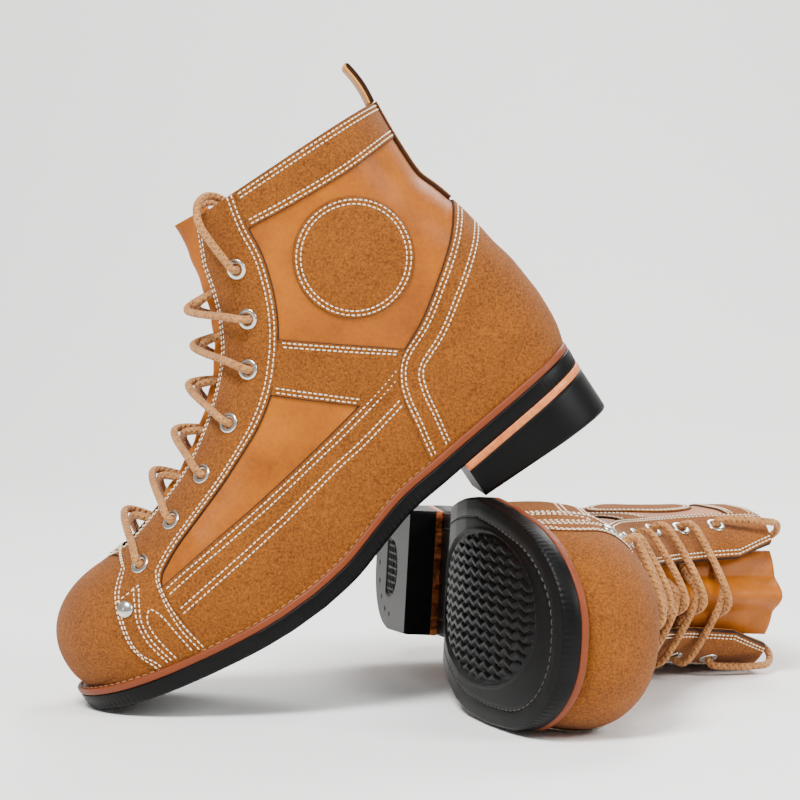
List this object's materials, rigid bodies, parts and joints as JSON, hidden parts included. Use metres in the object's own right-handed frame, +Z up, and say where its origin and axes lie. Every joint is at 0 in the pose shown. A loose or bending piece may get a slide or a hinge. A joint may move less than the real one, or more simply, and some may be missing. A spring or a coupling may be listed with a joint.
{
  "type": "pair of work boots",
  "caption": "Pair of ankle-high lace-to-toe work boots in suede and smooth leather, one lying on its side and the other leaning over it with its toe on the ground.",
  "frame": {"origin": "centre of the bounding box on the ground plane that both boots rest on", "axes": "+Z up; the leaning boot points its toe along -X and shows its outer side along -Y; the lying boot points its toe along -Y and its shaft along +X"},
  "size_m": [0.3982, 0.3364, 0.3358],
  "materials": {
    "outsole_rubber": "moulded black rubber, fine matt",
    "heel_lift_leather": "edge-dressed leather, tan orange",
    "welt_leather": "dressed and stitched welt leather, reddish brown",
    "insole_leather": "vegetable-tanned, plain",
    "cork": "granulated cork filler",
    "shank_steel": "spring steel strip",
    "suede": "napped suede",
    "smooth_leather": "smooth pull-up leather",
    "lining_leather": "smooth lining leather",
    "nickel": "nickel-plated brass, polished",
    "lace_cotton": "round braided cotton"
  },
  "bodies": {
    "leaning_boot": {"leaning_outsole": "outsole_rubber", "leaning_welt": "welt_leather", "leaning_cork_filler": "cork", "leaning_shank": "shank_steel", "leaning_insole": "insole_leather", "leaning_heel_lift": "heel_lift_leather", "leaning_heel_block": "outsole_rubber", "leaning_vamp": "suede", "leaning_counter": "suede", "leaning_backstay": "suede", "leaning_foxing_lateral": "suede", "leaning_foxing_medial": "suede", "leaning_collar_band_lateral": "suede", "leaning_collar_band_medial": "suede", "leaning_quarter_lateral": "smooth_leather", "leaning_quarter_medial": "smooth_leather", "leaning_ankle_strap_lateral": "suede", "leaning_ankle_strap_medial": "suede", "leaning_ankle_patch_lateral": "suede", "leaning_ankle_patch_medial": "suede", "leaning_eyestay_lateral": "suede", "leaning_eyestay_medial": "suede", "leaning_eyelet_row_lateral": "nickel", "leaning_eyelet_row_medial": "nickel", "leaning_rivet_lateral": "nickel", "leaning_rivet_medial": "nickel", "leaning_lining": "lining_leather", "leaning_tongue": "smooth_leather", "leaning_lace": "lace_cotton"},
    "leaning_pull_tab_loop": {"leaning_pull_tab": "suede"},
    "lying_boot": {"lying_outsole": "outsole_rubber", "lying_welt": "welt_leather", "lying_cork_filler": "cork", "lying_shank": "shank_steel", "lying_insole": "insole_leather", "lying_heel_lift": "heel_lift_leather", "lying_heel_block": "outsole_rubber", "lying_vamp": "suede", "lying_counter": "suede", "lying_backstay": "suede", "lying_foxing_lateral": "suede", "lying_foxing_medial": "suede", "lying_collar_band_lateral": "suede", "lying_collar_band_medial": "suede", "lying_quarter_lateral": "smooth_leather", "lying_quarter_medial": "smooth_leather", "lying_ankle_strap_lateral": "suede", "lying_ankle_strap_medial": "suede", "lying_ankle_patch_lateral": "suede", "lying_ankle_patch_medial": "suede", "lying_eyestay_lateral": "suede", "lying_eyestay_medial": "suede", "lying_eyelet_row_lateral": "nickel", "lying_eyelet_row_medial": "nickel", "lying_rivet_lateral": "nickel", "lying_rivet_medial": "nickel", "lying_lining": "lining_leather", "lying_tongue": "smooth_leather", "lying_lace": "lace_cotton"},
    "lying_pull_tab_loop": {"lying_pull_tab": "suede"}
  },
  "joints": [
    {"name": "leaning_boot_lift", "type": "slide", "parent": "lying_boot", "child": "leaning_boot", "axis": [0, 0, 1], "range_m": [0, 0.15]},
    {"name": "leaning_pull_tab_fold", "type": "hinge", "parent": "leaning_boot", "child": "leaning_pull_tab_loop", "pos_m": [-0.03572, -0.03252, 0.317], "axis": [0.0593, -0.9982, 0], "range_deg": [-35, 60], "stiffness_Nm_per_rad": 0.01},
    {"name": "lying_pull_tab_fold", "type": "hinge", "parent": "lying_boot", "child": "lying_pull_tab_loop", "pos_m": [0.17104, 0.1612, 0.04566], "axis": [-0.0579, -0.0128, -0.9982], "range_deg": [-35, 60], "stiffness_Nm_per_rad": 0.01}
  ]
}
